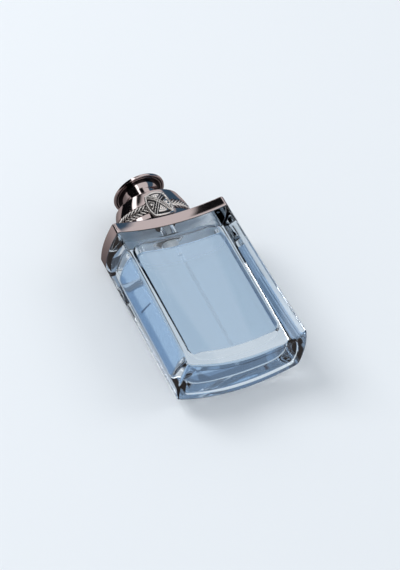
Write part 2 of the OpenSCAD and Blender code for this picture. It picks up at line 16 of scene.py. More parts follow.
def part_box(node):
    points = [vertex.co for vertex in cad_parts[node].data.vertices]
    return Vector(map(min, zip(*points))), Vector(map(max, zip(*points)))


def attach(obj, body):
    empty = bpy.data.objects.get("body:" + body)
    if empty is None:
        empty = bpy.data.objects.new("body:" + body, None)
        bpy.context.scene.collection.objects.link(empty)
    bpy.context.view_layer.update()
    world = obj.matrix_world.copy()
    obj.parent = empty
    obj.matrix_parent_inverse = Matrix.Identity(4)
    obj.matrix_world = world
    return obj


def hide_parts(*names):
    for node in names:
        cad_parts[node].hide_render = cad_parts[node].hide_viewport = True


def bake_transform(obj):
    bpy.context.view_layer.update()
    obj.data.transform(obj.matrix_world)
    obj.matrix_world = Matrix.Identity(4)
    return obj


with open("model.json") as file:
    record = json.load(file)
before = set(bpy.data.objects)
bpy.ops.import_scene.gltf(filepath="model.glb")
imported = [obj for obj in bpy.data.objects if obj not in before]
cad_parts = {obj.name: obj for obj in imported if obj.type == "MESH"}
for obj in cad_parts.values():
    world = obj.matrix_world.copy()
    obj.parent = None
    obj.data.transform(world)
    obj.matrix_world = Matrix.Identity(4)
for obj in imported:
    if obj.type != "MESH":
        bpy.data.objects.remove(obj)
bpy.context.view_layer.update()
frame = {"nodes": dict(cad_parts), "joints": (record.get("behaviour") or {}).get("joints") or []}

bl_info = {
    "name": "Aftershave bottle dresser",
    "version": (1, 0, 0),
    "blender": (4, 5, 0),
    "location": "View3D > Sidebar > Bottle",
    "description": "Models and finishes an aftershave bottle around its packed frame",
    "category": "Object",
}

MM = 0.001


def span(name, axis):
    """Lowest and highest level of a node along one axis, in millimetres."""
    low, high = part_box(name)
    return low[axis] / MM, high[axis] / MM


# Levels and places that the frame gives, in millimetres
AXIS_Y = next(j for j in frame["joints"] if j["name"] == "actuator_turn")["pos_m"][1] / MM
NECK_TOP = span("glass_bottle", 2)[1]
PLATE_LOW, PLATE_TOP = span("shoulder_plate", 2)
CAP_LOW, DECK_TOP = span("cap_shell", 2)
FILL_TOP = span("fragrance", 2)[1]
TUBE_LOW = span("dip_tube", 2)[0]
BELT_LOW = span("rope_lower", 2)[0]
BELT_TOP = span("rope_upper", 2)[1]
PANEL_LOW, PANEL_TOP = span("front_panel", 2)
DISC_TOP = span("cap_finial", 2)[1]
BACK_Y = span("glass_bottle", 1)[1]


def millimetres(text, value, low=0.0, high=200.0):
    """A length that a user may change, in millimetres."""
    return FloatProperty(name=text, description=text + ", in millimetres", default=value,
                         min=low, max=high)


def srgb(code):
    """Linear red, green and blue of an sRGB hex colour."""
    parts = [int(code[i:i + 2], 16) / 255 for i in (1, 3, 5)]
    return tuple(c / 12.92 if c <= 0.04045 else ((c + 0.055) / 1.055) ** 2.4 for c in parts)


def swatch(text, code):
    """A colour that a user may change, given as an sRGB hex value."""
    return FloatVectorProperty(name=text, description=text, subtype="COLOR", size=3, min=0, max=1,
                               default=srgb(code))


class FlaskSettings(bpy.types.PropertyGroup):
    front_w: millimetres("Width across the front corners at the base", 66)
    front_w_top: millimetres("Width across the front corners at the shoulder", 63.6)
    back_w: millimetres("Width across the back corners", 69.6)
    corner_d: millimetres("Depth from front corners to back corners", 28.8)
    front_sag: millimetres("Hollow of the front at the base", 9)
    front_sag_top: millimetres("Hollow of the front at the shoulder", 4.8)
    back_sag: millimetres("Belly of the back at the base", 8)
    back_sag_top: millimetres("Belly of the back at the shoulder", 7)
    side_bulge: millimetres("Bulge of the sides", 1.8)
    corner_r: millimetres("Rounding of the upright edges", 1.6)
    heel_r: millimetres("Rounding of the heel", 1.3)
    base_t: millimetres("Thickness of the base", 11.5)
    side_wall: millimetres("Thickness of the side walls", 7)
    face_wall: millimetres("Thickness of the front and back walls", 4.2)
    cavity_r: millimetres("Rounding of the inner corners", 6)
    floor_r: millimetres("Rounding of the inner floor", 4)
    dome_h: millimetres("Height of the domed inner shoulder", 7)
    dome_cover: millimetres("Glass over the dome", 2)
    punt_depth: millimetres("Depth of the recess under the base", 1.4)
    heel_rim: millimetres("Width of the heel rim", 4.5)
    neck_bore: millimetres("Bore of the neck", 9.2)
    neck_d: millimetres("Diameter of the neck bead", 15)
    bead_h: millimetres("Height of the neck bead", 3.6)
    bead_step: millimetres("Depth of the groove below the bead", 0.9)
    plate_wall: millimetres("Wall of the shoulder plate", 1.3)
    plate_r: millimetres("Rounding of the shoulder plate", 0.7)
    plate_hole: millimetres("Hole in the shoulder plate", 17.92)


class CapSettings(bpy.types.PropertyGroup):
    turn: FloatProperty(name="Turn", description="Turn of the cap about the pump",
                        default=radians(2), subtype="ANGLE")
    belt_l: millimetres("Length at the rope belt", 42.4)
    belt_w: millimetres("Depth at the rope belt", 26)
    foot_l: millimetres("Length of the foot", 41.6)
    foot_w: millimetres("Depth of the foot", 24)
    band_l: millimetres("Length at the top of the band", 37.2)
    band_w: millimetres("Depth at the top of the band", 28)
    deck_h: millimetres("Height of the domed deck", 1.8)
    wall: millimetres("Wall of the skirt", 1.6)
    neck_d: millimetres("Diameter of the finial neck", 18)
    neck_h: millimetres("Height of the finial neck", 4.6)
    trumpet_h: millimetres("Height of the trumpet under the disc", 4)
    disc_d: millimetres("Diameter of the finial disc", 29.2)
    rim_w: millimetres("Width of the turned rim under the disc", 2.5)
    lip_w: millimetres("Width of the lip round the inlay", 1.6)
    inlay_deep: millimetres("Depth of the recess for the inlay", 0.8)
    bore_d: millimetres("Bore above the spray head", 15)
    rope_t: millimetres("Thickness of one flattened rope", 1.9)
    rope_h: millimetres("Height of one rope", 2.8)
    rope_lay: millimetres("Length of one turn of the rope", 6.2)
    hollow_l: millimetres("Length of the hollow inside", 34)
    hollow_w: millimetres("Depth of the hollow inside", 19.96)


class PanelSettings(bpy.types.PropertyGroup):
    width: millimetres("Width between the corners", 11.6)
    bow: millimetres("Outward bow of the sides", 1.2)
    radius: millimetres("Radius of the panel's face", 14.2)
    thickness: millimetres("Thickness of the panel", 3)
    cross_up: millimetres("Height of the crossing above the middle", 1.9)
    strap_w: millimetres("Width of a strap", 1.9)
    rim_w: millimetres("Width of the rim", 1.2)
    strap_t: millimetres("Height of a strap", 0.7)
    stud_d: millimetres("Diameter of a stud", 1.8)


class PumpSettings(bpy.types.PropertyGroup):
    spring_wire: millimetres("Wire of the return spring", 0.6)
    spring_coils: IntProperty(name="Coils of the return spring",
                              description="Coils of the return spring", default=5)


class FinishSettings(bpy.types.PropertyGroup):
    glass: swatch("Flint glass tint", "#FDFEFE")
    liquid: swatch("Aftershave tint", "#DCE9F5")
    plating: swatch("Rose nickel plating", "#D6CACA")
    flare_painted_shade: swatch("Plating under the flare, darkened as painted shade", "#332E30")
    # Painted shade: the plating colour is darkened to stand in for the shade under the flare
    casting: swatch("Raw zinc casting", "#DCE6EF")
    # Tarnish and painted shade: this dark colour fills the hollows and the blackened cores and
    # ground
    silver: swatch("Antiqued silver", "#F2F0EE")
    tarnish_and_painted_shade: swatch("Tarnish and painted shade in the recesses", "#0E0F12")
    aluminium: swatch("Anodised aluminium", "#D5D2D2")
    floor: swatch("Floor", "#E9ECEF")
    floor_in_glass: swatch("Floor as tinted glass shows it", "#D3DFEA")


class StageSettings(bpy.types.PropertyGroup):
    camera_x: millimetres("Camera place, X", -356.196, -5000, 5000)
    camera_y: millimetres("Camera place, Y", -711.392, -5000, 5000)
    camera_z: millimetres("Camera place, Z", -433.563, -5000, 5000)
    lens: millimetres("Lens", 114.387, 1, 500)


# ---- mesh helpers

def piece(bm, name, smooth=True):
    """Turns a bmesh in millimetres into an object in metres at the origin."""
    bm.transform(Matrix.Scale(MM, 4))
    mesh = bpy.data.meshes.new(name)
    bm.to_mesh(mesh)
    bm.free()
    for face in mesh.polygons:
        face.use_smooth = smooth
    thing = bpy.data.objects.new(name, mesh)
    bpy.context.scene.collection.objects.link(thing)
    return thing


def crease(thing, angle):
    """Keeps edges sharper than the angle crisp."""
    bm = bmesh.new()
    bm.from_mesh(thing.data)
    for edge in bm.edges:
        if len(edge.link_faces) == 2 and edge.calc_face_angle(0) > angle:
            edge.smooth = False
    bm.to_mesh(thing.data)
    bm.free()


def wrap(rings, closed_path=False, indices=None):
    """Skin over a list of closed rings, extruded from one ring to the next.

    closed_path joins the last ring to the first. indices gives the material of each stretch.
    """
    bm = bmesh.new()
    verts = [bm.verts.new(p) for p in rings[0]]
    count = len(verts)
    edges = [bm.edges.new((verts[i], verts[(i + 1) % count])) for i in range(count)]
    if not closed_path:
        bm.faces.new(verts)
    for step, ring in enumerate(rings[1:]):
        out = bmesh.ops.extrude_edge_only(bm, edges=edges)["geom"]
        fresh = {g for g in out if isinstance(g, bmesh.types.BMVert)}
        follow = []
        for v, p in zip(verts, ring):
            twin = next(e.other_vert(v) for e in v.link_edges if e.other_vert(v) in fresh)
            twin.co = p
            follow.append(twin)
        edges = [g for g in out if isinstance(g, bmesh.types.BMEdge) and fresh.issuperset(g.verts)]
        if indices:
            for g in out:
                if isinstance(g, bmesh.types.BMFace):
                    g.material_index = indices[step]
        verts = follow
    if closed_path:
        bmesh.ops.remove_doubles(bm, verts=bm.verts, dist=1e-4)
    else:
        cap = bm.faces.new(verts)
        if indices:
            cap.material_index = indices[-1]
    bmesh.ops.recalc_face_normals(bm, faces=bm.faces)
    return bm


def finish_piece(thing, body, materials, stands_for, sharp=None):
    """Gives a piece its materials and its body, and hides the nodes that it stands for.

    Edges that turn by more than sharp, in degrees, stay crisp.
    """
    if sharp:
        crease(thing, radians(sharp))
    for m in materials:
        thing.data.materials.append(m)
    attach(thing, body)
    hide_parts(*stands_for)


# ---- flask outline

FRONT_STEPS = 56
SIDE_STEPS = 18
CORNER_STEPS = 7
EDGE_STEPS = 8
WALL_STEPS = 24


def lerp(a, b, t):
    """Value between a and b."""
    return a + (b - a) * t


def shares(steps, first=1):
    """Even shares of a way, up to 1."""
    return [i / steps for i in range(first, steps + 1)]


def full_turn(steps):
    """Even angles of one turn."""
    return [2 * pi * i / steps for i in range(steps)]


def bend(p, q, r, t):
    """Point on the curve that leaves p towards q and lands on r."""
    return p.lerp(q, t).lerp(q.lerp(r, t), t)


def middle_y(s):
    """Plan Y of the flask's middle: the pump stands midway from front to back at the shoulder."""
    return (s.corner_d + s.front_sag_top + s.back_sag_top) / 2 - AXIS_Y


def plan(s, z, in_x=0.0, in_y=0.0, rc=None):
    """Outline of the flask at one level, drawn in from its skin at the sides and at the faces."""
    rc = s.corner_r if rc is None else rc
    rise = 1 - (1 - min(1, z / PLATE_LOW)) ** 2
    half_f = lerp(s.front_w, s.front_w_top, rise) / 2
    half_b = s.back_w / 2
    sag_f = lerp(s.front_sag, s.front_sag_top, rise)
    sag_b = lerp(s.back_sag, s.back_sag_top, rise)
    low_f, low_b = half_f - in_x, half_b - in_x

    def front(x):
        return Vector((x, in_y + sag_f * (1 - (x / half_f) ** 2)))

    def back(x):
        return Vector((x, s.corner_d - in_y + sag_b * (1 - (x / half_b) ** 2)))

    def side(a, b, t, sign):
        return a.lerp(b, t) + Vector((sign * s.side_bulge * 4 * t * (1 - t), 0))

    fl, fr, bl, br = front(-low_f), front(low_f), back(-low_b), back(low_b)
    cut = min(0.45, rc / (br - fr).length)
    spread = shares(FRONT_STEPS, 0)
    climb = [lerp(cut, 1 - cut, t) for t in shares(SIDE_STEPS, 0)]
    runs = [
        [front(lerp(rc - low_f, low_f - rc, t)) for t in spread],
        [side(fr, br, t, 1) for t in climb],
        [back(lerp(low_b - rc, rc - low_b, t)) for t in spread],
        [side(bl, fl, t, -1) for t in climb],
    ]
    points = []
    for run, corner, after in zip(runs, (fr, br, bl, fl), runs[1:] + runs[:1]):
        points += run
        points += [bend(run[-1], corner, after[0], t) for t in shares(CORNER_STEPS)[:-1]]
    return [(p.x, p.y - middle_y(s)) for p in points]


def ring(s, z, in_x=0.0, in_y=0.0, rc=None, level=None):
    """Flask outline as a ring of points in space."""
    level = z if level is None else level
    return [(x, y, level) for x, y in plan(s, z, in_x, in_y, rc)]


def drawn_in(s, z, inset, level=None):
    """Flask outline drawn in evenly all round."""
    return ring(s, z, inset, inset, level=level)


def cavity(s, z, gap=0.0, level=None):
    """Outline of the cavity, drawn in by a gap."""
    return ring(s, z, s.side_wall + gap, s.face_wall + gap, s.cavity_r, level)


def towards_circle(outline, radius, share, level):
    """Ring between a flask outline and a circle about the neck."""
    out = []
    for x, y, _ in outline:
        reach = hypot(x, y - AXIS_Y)
        round_x, round_y = x / reach * radius, AXIS_Y + (y - AXIS_Y) / reach * radius
        out.append((lerp(x, round_x, share), lerp(y, round_y, share), level))
    return out


def quarter(r, steps=EDGE_STEPS):
    """Height above the flat and inset from the wall along a rounded edge."""
    turns = [pi / 2 * t for t in shares(steps, 0)]
    return [(r * (1 - cos(a)), r * (1 - sin(a))) for a in turns]


# ---- materials

GLASS_INDEX = 1.52
LIQUID_INDEX = 1.36
CLEAR = {"Roughness": 0.0, "Transmission_Weight": 1.0}
WAVE_RATE = 20  # Radians that the wave texture turns in one unit


def node(tree, kind, inputs=None, **settings):
    """Adds one node, sets its attributes and constants and joins sockets to its inputs.

    A node among the inputs stands for its first output.
    """
    n = tree.nodes.new("ShaderNode" + kind)
    for key, value in settings.items():
        if hasattr(n, key):
            setattr(n, key, value)
        else:
            n.inputs[key.replace("_", " ")].default_value = value
    for key, value in (inputs or {}).items():
        if isinstance(value, bpy.types.Node):
            value = value.outputs[0]
        if isinstance(value, bpy.types.NodeSocket):
            tree.links.new(value, n.inputs[key])
        else:
            n.inputs[key].default_value = value
    return n


def material(name, colour, **inputs):
    """A material with its tree and its Principled shader, with constants on its own sockets."""
    m = bpy.data.materials.new(name)
    m.use_nodes = True
    tree = m.node_tree
    tree.nodes.clear()
    shader = node(tree, "BsdfPrincipled", Base_Color=(*colour, 1), **inputs)
    node(tree, "OutputMaterial", {"Surface": shader})
    return m, tree, shader


def relief(tree, shader, per_mm, strength, depth_mm, detail=2.0):
    """Bumps a surface with uneven swells, so many to the millimetre, and returns their pattern."""
    place = node(tree, "TexCoord")
    pattern = node(tree, "TexNoise", {"Vector": place.outputs["Object"]}, Scale=per_mm / MM,
                   Detail=detail)
    bump = node(tree, "Bump", {"Height": pattern}, Strength=strength, Distance=depth_mm * MM)
    tree.links.new(bump.outputs["Normal"], shader.inputs["Normal"])
    return pattern


def iron_trace(tree):
    """Fills glass with its trace of iron: clear where it is thin, blue grey in the thick base."""
    trace = node(tree, "VolumeAbsorption", Density=5.0, Color=(*srgb("#B0BFCE"), 1))
    tree.links.new(trace.outputs[0], tree.get_output_node("ALL").inputs["Volume"])


def last_light(tree, shader):
    """Paints a blue glow into glass on paths near the renderer's last bounce, so thick glass ends
    in it, not black.
    """
    late_depth, glow_level, painted_glow_blue = 7, 0.3, "#9DAAB8"
    kind = node(tree, "LightPath")
    late = node(tree, "Math", {0: kind.outputs["Ray Depth"], 1: late_depth},
                operation="GREATER_THAN")
    glow = node(tree, "Math", {0: late, 1: glow_level}, operation="MULTIPLY")
    # Painted glow: the glass gives off this blue though it is no lamp
    shader.inputs["Emission Color"].default_value = (*srgb(painted_glow_blue), 1)
    tree.links.new(glow.outputs[0], shader.inputs["Emission Strength"])


def thick_glass(name, finish, index, **swell):
    """One face of the thick flask: clear, with the slow swell of the mould, the iron's tint and a
    painted glow on deep paths.
    """
    m, tree, shader = material(name, finish.glass, IOR=index, **CLEAR)
    relief(tree, shader, **swell)
    last_light(tree, shader)
    iron_trace(tree)
    return m


def flint_glass(finish):
    """Pressed flint glass, fire polished: clear and faintly blue, with bright crisp edges."""
    return thick_glass("pressed_flint_glass", finish, GLASS_INDEX,
                       per_mm=0.06, strength=0.25, depth_mm=0.12)


def wetted_glass(finish):
    """Inner glass face with liquid behind it: the index steps so little that it nearly vanishes."""
    return thick_glass("wetted_flint_glass", finish, GLASS_INDEX / LIQUID_INDEX,
                       per_mm=0.05, strength=0.2, depth_mm=0.1)


def liquid_side(finish):
    """Side of the liquid: it meets the glass with no air between, so it only tints."""
    m, tree, shader = material("aftershave_against_glass", finish.liquid, IOR=1.0, **CLEAR)
    place = node(tree, "TexCoord")
    cloud = node(tree, "TexNoise", {"Vector": place.outputs["Object"]}, Scale=0.018 / MM,
                 Detail=1.0)
    deeper = [c * 0.97 for c in finish.liquid]
    tint = node(tree, "Mix", {"Factor": cloud, "A": (*finish.liquid, 1), "B": (*deeper, 1)},
                data_type="RGBA")
    tree.links.new(tint.outputs["Result"], shader.inputs["Base Color"])
    return m


def liquid_top(finish):
    """Free face of the liquid, alcohol and water: perfectly smooth, with a slow swell."""
    m, tree, shader = material("aftershave_free_surface", finish.liquid, IOR=LIQUID_INDEX, **CLEAR)
    relief(tree, shader, per_mm=0.02, strength=0.05, depth_mm=0.1)
    return m


def wetted_tube():
    """Liquid against the dip tube, whose index is so close that the face hardly shows."""
    return material("aftershave_against_tube", (1, 1, 1), IOR=1.0, **CLEAR)[0]


def rose_plating(name, colour):
    """Die-cast zinc, polished and nickel plated: a dark mirror with faint polishing haze."""
    m, tree, shader = material(name, colour, Metallic=1.0)
    place = node(tree, "TexCoord")
    haze = node(tree, "TexNoise", {"Vector": place.outputs["Object"]}, Scale=0.25 / MM,
                Detail=6.0, Roughness=0.65)
    rough = node(tree, "MapRange", {"Value": haze}, To_Min=0.05, To_Max=0.12)
    tree.links.new(rough.outputs["Result"], shader.inputs["Roughness"])
    relief(tree, shader, per_mm=0.12, strength=0.1, depth_mm=0.06, detail=1.0)
    return m


def raw_casting(finish):
    """Unplated inside of the zinc casting: bright grey and satin, with the grain of the die."""
    m, tree, shader = material("raw_zinc_casting", finish.casting, Metallic=0.4, Roughness=0.3)
    relief(tree, shader, per_mm=0.8, strength=0.3, depth_mm=0.05, detail=4.0)
    return m


def antiqued_silver_with_painted_shade(finish, name, grain_mm, reach_mm):
    """Silver-plated relief, blackened and buffed back.

    It is bright on the crowns and black in hollows whose sides are within reach_mm. Tarnish and
    painted shade both make this black, the shade from how closely the hollow's sides hem each point
    in.
    """
    m, tree, shader = material(name, finish.silver, Metallic=1.0)
    mottle = relief(tree, shader, per_mm=1 / grain_mm, strength=0.2, depth_mm=0.03, detail=4.0)
    # Painted shade: ambient occlusion blackens the hollows, on top of their tarnished silver
    open_sky = node(tree, "AmbientOcclusion", samples=8, Distance=reach_mm * MM)
    rubbed_and_unshaded = node(tree, "MapRange", {"Value": open_sky.outputs["AO"]}, From_Min=0.4,
                  From_Max=0.65)
    mottle_share = 0.2
    worn_and_unshaded = node(tree, "Math", {0: mottle, 1: mottle_share, 2: rubbed_and_unshaded}, operation="MULTIPLY_ADD",
                use_clamp=True)
    tint = node(tree, "Mix", {"Factor": worn_and_unshaded, "A": (*finish.tarnish_and_painted_shade, 1), "B": (*finish.silver, 1)},
                data_type="RGBA")
    tree.links.new(tint.outputs["Result"], shader.inputs["Base Color"])
    rough = node(tree, "MapRange", {"Value": worn_and_unshaded}, To_Min=0.5, To_Max=0.08)
    tree.links.new(rough.outputs["Result"], shader.inputs["Roughness"])
    return m


def fine_grained(name, colour, roughness, **more):
    """Moulded, extruded, or tarnished black, partly as painted shade: an even colour with a fine
    grain that softens the shine.
    """
    grain_mm = 0.3
    m, tree, shader = material(name, colour, Roughness=roughness, **more)
    relief(tree, shader, per_mm=1 / grain_mm, strength=0.15, depth_mm=0.02, detail=3.0)
    return m


def turned_metal(name, colour, roughness):
    """Drawn or turned metal: fine rings round the pump axis catch the light."""
    ring_mm = 0.754  # Coarser than the tool's real rings, so that they show
    m, tree, shader = material(name, colour, Metallic=1.0, Roughness=roughness)
    place = node(tree, "TexCoord")
    rings = node(tree, "TexWave", {"Vector": place.outputs["Object"]}, bands_direction="Z",
                 Scale=2 * pi / WAVE_RATE / (ring_mm * MM), Distortion=1.5, Detail=2.0)
    bump = node(tree, "Bump", {"Height": rings.outputs["Fac"]}, Strength=0.08, Distance=0.02 * MM)
    tree.links.new(bump.outputs["Normal"], shader.inputs["Normal"])
    return m


# ---- stage finishes

BOTTLE_MIDDLE = (0, 0, 0.06)
WALL_LEVEL = 2.0
BLACK_VELVET = "#0A0A0C"
# Dark drapes, white strip light, pale wall, blue wall and haze, with the level of each
METAL_WALLS = ((BLACK_VELVET, 1), ("#FFFFFF", 2), ("#DEDAD9", 1), ("#3E5A70", 1), ("#B9B4B2", 1))
GLASS_WALLS = (("#8DA0B4", 1), ("#FFFFFF", 2), ("#DFE7EE", 1), ("#93A9C0", 1), ("#BCC9D6", 1))


def stage_floor(finish):
    """Matt pale board that the bottle lies on.

    Glass shows it pale and even. Metal sees a painted reflection of it, greyer than the board, with
    a painted shadow of the bottle that fades between 45 and 120 mm from the bottle's middle. Seen
    from behind it isn't there, so views from the back stay clear.
    """
    m, tree, board = material("pale_board", finish.floor, Roughness=0.9)
    kind = node(tree, "LightPath")
    through = node(tree, "Emission", Strength=0.95, Color=(*finish.floor_in_glass, 1))
    place = node(tree, "TexCoord")
    offset = node(tree, "VectorMath", {0: place.outputs["Object"], 1: BOTTLE_MIDDLE},
                  operation="SUBTRACT")
    reach = node(tree, "VectorMath", {0: offset}, operation="LENGTH")
    shade = node(tree, "MapRange", {"Value": reach.outputs["Value"]}, From_Min=0.045,
                 From_Max=0.12)
    # Painted shadow in the painted reflection: dark near the bottle, greyer than the board far off
    near, far = (*srgb("#544D4E"), 1), (*srgb("#B0A8A7"), 1)
    painted_shadow_tone = node(tree, "Mix", {"Factor": shade, "A": near, "B": far}, data_type="RGBA")
    mirrored = node(tree, "Emission", {"Color": painted_shadow_tone.outputs["Result"]}, Strength=1.0)
    seen = node(tree, "MixShader", {0: kind.outputs["Is Glossy Ray"], 1: board, 2: mirrored})
    lit = node(tree, "MixShader", {0: kind.outputs["Is Transmission Ray"], 1: seen, 2: through})
    clear = node(tree, "BsdfTransparent")
    side = node(tree, "NewGeometry")
    shown = node(tree, "MixShader", {0: side.outputs["Backfacing"], 1: lit, 2: clear})
    tree.links.new(shown.outputs[0], tree.get_output_node("ALL").inputs["Surface"])
    return m


def studio_wall(tree, bearing, drape, strip, wall, blue, haze):
    """Colours of the studio round the bottle, by bearing.

    Bearings run from the front, -180 to 180 degrees, to the right. The colours are shares of
    WALL_LEVEL.
    """
    share = node(tree, "MapRange", {"Value": bearing}, From_Min=-pi, From_Max=pi)
    ramp = node(tree, "ValToRGB", {"Fac": share})
    stops = [(-180, haze), (-104, haze), (-100, drape), (-27, drape), (-25, strip), (-13, strip),
             (-11, wall), (48, wall), (53, blue), (88, blue), (94, haze), (180, haze)]
    elements = ramp.color_ramp.elements
    for angle, _ in stops[1:-1]:
        elements.new((angle + 180) / 360)
    for element, (angle, (code, level)) in zip(elements, stops):
        element.position = (angle + 180) / 360
        element.color = (*(c * level / WALL_LEVEL for c in srgb(code)), 1)
    return ramp


def within(tree, value, middle, half, soft):
    """1 where an angle is within half of the middle, falling to 0 over soft, all in degrees."""
    away = node(tree, "Math", {0: value, 1: radians(middle)}, operation="SUBTRACT")
    size = node(tree, "Math", {0: away}, operation="ABSOLUTE")
    return node(tree, "MapRange", {"Value": size}, From_Min=radians(half),
                From_Max=radians(half + soft), To_Min=1.0, To_Max=0.0)


def studio_world(tree):
    """Even sky for the camera and matt surfaces, studio walls for metal, paler ones for glass."""
    place = node(tree, "TexCoord")
    kind = node(tree, "LightPath")
    parts = node(tree, "SeparateXYZ", {"Vector": place.outputs["Generated"]})
    ahead = node(tree, "Math", {0: parts.outputs["Y"], 1: -1}, operation="MULTIPLY")
    bearing = node(tree, "Math", {0: parts.outputs["X"], 1: ahead}, operation="ARCTAN2")
    height = node(tree, "Math", {0: parts.outputs["Z"]}, operation="ARCSINE")

    # A black flag hangs high in front of the metal, and darkens the faces that look up to it
    across = within(tree, bearing, middle=-1, half=11, soft=4)
    up = within(tree, height, middle=34, half=12, soft=3)
    flag = node(tree, "Math", {0: across, 1: up}, operation="MULTIPLY")
    walls = studio_wall(tree, bearing, *METAL_WALLS)
    flagged = node(tree, "Mix", {"Factor": flag, "A": walls, "B": (*srgb(BLACK_VELVET), 1)},
                   data_type="RGBA")

    sky = node(tree, "Background", Strength=0.75, Color=(*srgb("#E8EEF4"), 1))
    for_metal = node(tree, "Background", {"Color": flagged.outputs["Result"]}, Strength=WALL_LEVEL)
    paler = studio_wall(tree, bearing, *GLASS_WALLS)
    for_glass = node(tree, "Background", {"Color": paler}, Strength=WALL_LEVEL)
    seen = node(tree, "MixShader", {0: kind.outputs["Is Glossy Ray"], 1: sky, 2: for_metal})
    mix = node(tree, "MixShader", {0: kind.outputs["Is Transmission Ray"], 1: seen, 2: for_glass})
    node(tree, "OutputWorld", {"Surface": mix})


# ---- flask, liquid and plate

class BOTTLE_OT_flask(bpy.types.Operator):
    """Model the pressed glass flask with its cavity, dome and crimp neck"""
    bl_idname = "bottle.flask"
    bl_label = "Glass flask"

    def execute(self, context):
        s = context.scene.flask
        finish = context.scene.finish
        cavity_top = PLATE_LOW - s.dome_cover - s.dome_h
        plate_gap, side_gap = 0.06, 0.1
        pad_top = PLATE_TOP - s.plate_wall - plate_gap
        pad_in = s.plate_wall + side_gap
        bore_r, bead_r = s.neck_bore / 2, s.neck_d / 2
        groove_r = bead_r - s.bead_step
        bead_low = NECK_TOP - s.bead_h
        punt_r, foot_r, shoulder_r, lip_r = 0.4, 0.25, 0.3, 0.5
        body_steps, dome_steps = 40, 14

        # Recess under the base, heel, body, shoulder and the pad that the plate sits on
        rings = [drawn_in(s, 0, s.heel_rim + punt_r, s.punt_depth)]
        rings += [drawn_in(s, 0, s.heel_rim + punt_r * (1 - cos(a)),
                           s.punt_depth - punt_r * (1 - sin(a))) for a in (pi / 3, pi / 6, 0)]
        rings += [drawn_in(s, 0, s.heel_rim, foot_r), drawn_in(s, 0, s.heel_rim - foot_r)]
        rings += [drawn_in(s, h, d) for h, d in quarter(s.heel_r)]
        rings += [ring(s, lerp(s.heel_r, PLATE_LOW - shoulder_r, t)) for t in shares(body_steps)]
        rings += [drawn_in(s, PLATE_LOW, d, PLATE_LOW - shoulder_r + h)
                  for d, h in ((0.05, 0.18), (shoulder_r, shoulder_r))]
        rings += [drawn_in(s, PLATE_LOW, pad_in, z) for z in (PLATE_LOW, pad_top)]
        pad = rings[-1]

        # Neck with its crimp bead, down the bore and out under the dome
        rings += [towards_circle(pad, groove_r, share, pad_top) for share in (0.5, 1)]
        rings += [towards_circle(pad, r, 1, z) for r, z in (
            (groove_r, bead_low - 0.3), (bead_r - 0.3, bead_low), (bead_r, bead_low + 0.4),
            (bead_r, NECK_TOP - lip_r), (bead_r - 0.15, NECK_TOP - 0.15),
            (bead_r - lip_r, NECK_TOP), (bore_r + lip_r, NECK_TOP),
            (bore_r + 0.1, NECK_TOP - 0.15), (bore_r, NECK_TOP - lip_r),
            (bore_r, cavity_top + s.dome_h + 0.6))]
        inner = cavity(s, cavity_top)
        rings += [towards_circle(inner, bore_r + 0.4, 1 - cos(a), cavity_top + s.dome_h * sin(a))
                  for a in (pi / 2 * t for t in reversed(shares(dome_steps, 0)))]

        # Cavity, dry above the liquid and wetted below
        rings += [cavity(s, z) for z in (lerp(cavity_top, FILL_TOP, 0.5), FILL_TOP)]
        wet = len(rings) - 1
        floor_turn = s.base_t + s.floor_r
        rings += [cavity(s, lerp(FILL_TOP, floor_turn, t)) for t in shares(WALL_STEPS)]
        rings += [cavity(s, s.base_t + h, d) for h, d in reversed(quarter(s.floor_r)[:-1])]
        indices = [0 if i < wet else 1 for i in range(len(rings) - 1)]
        flask = piece(wrap(rings, indices=indices), "flask")
        glasses = [flint_glass(finish), wetted_glass(finish)]
        finish_piece(flask, "bottle", glasses, ["glass_bottle"], sharp=40)
        return {"FINISHED"}


class BOTTLE_OT_liquid(bpy.types.Operator):
    """Model the liquid with its free surface, meniscus and the well of the dip tube"""
    bl_idname = "bottle.liquid"
    bl_label = "Liquid"

    def execute(self, context):
        s = context.scene.flask
        finish = context.scene.finish
        film, creep = 0.03, 0.5
        left, right = span("dip_tube", 0)
        well_r = (right - left) / 2 + film
        low = s.base_t + film + s.floor_r
        rings = [cavity(s, s.base_t + film + h, film + d) for h, d in quarter(s.floor_r)]
        rings += [cavity(s, lerp(low, FILL_TOP, t), film) for t in shares(WALL_STEPS)]
        sides = len(rings) - 1
        for share in (0.1, 0.3, 0.6, 1):
            drop = creep * (1 - (1 - share) ** 2)
            rings.append(cavity(s, FILL_TOP, film + creep * 2 * share, FILL_TOP - drop))
        flat = rings[-1]
        level = FILL_TOP - creep
        rings += [towards_circle(flat, well_r, share, level) for share in (0.25, 0.5, 0.75, 0.97)]
        rings.append(towards_circle(flat, well_r, 1, level + 0.15))
        top = len(rings) - 1
        rings += [towards_circle(flat, well_r, 1, z)
                  for z in (lerp(FILL_TOP, TUBE_LOW, 0.5), TUBE_LOW - film)]
        indices = [0 if i < sides else 1 if i < top else 2 for i in range(len(rings) - 1)]
        liquid = piece(wrap(rings, indices=indices), "liquid")
        liquids = [liquid_side(finish), liquid_top(finish), wetted_tube()]
        finish_piece(liquid, "bottle", liquids, ["fragrance"], sharp=50)
        return {"FINISHED"}


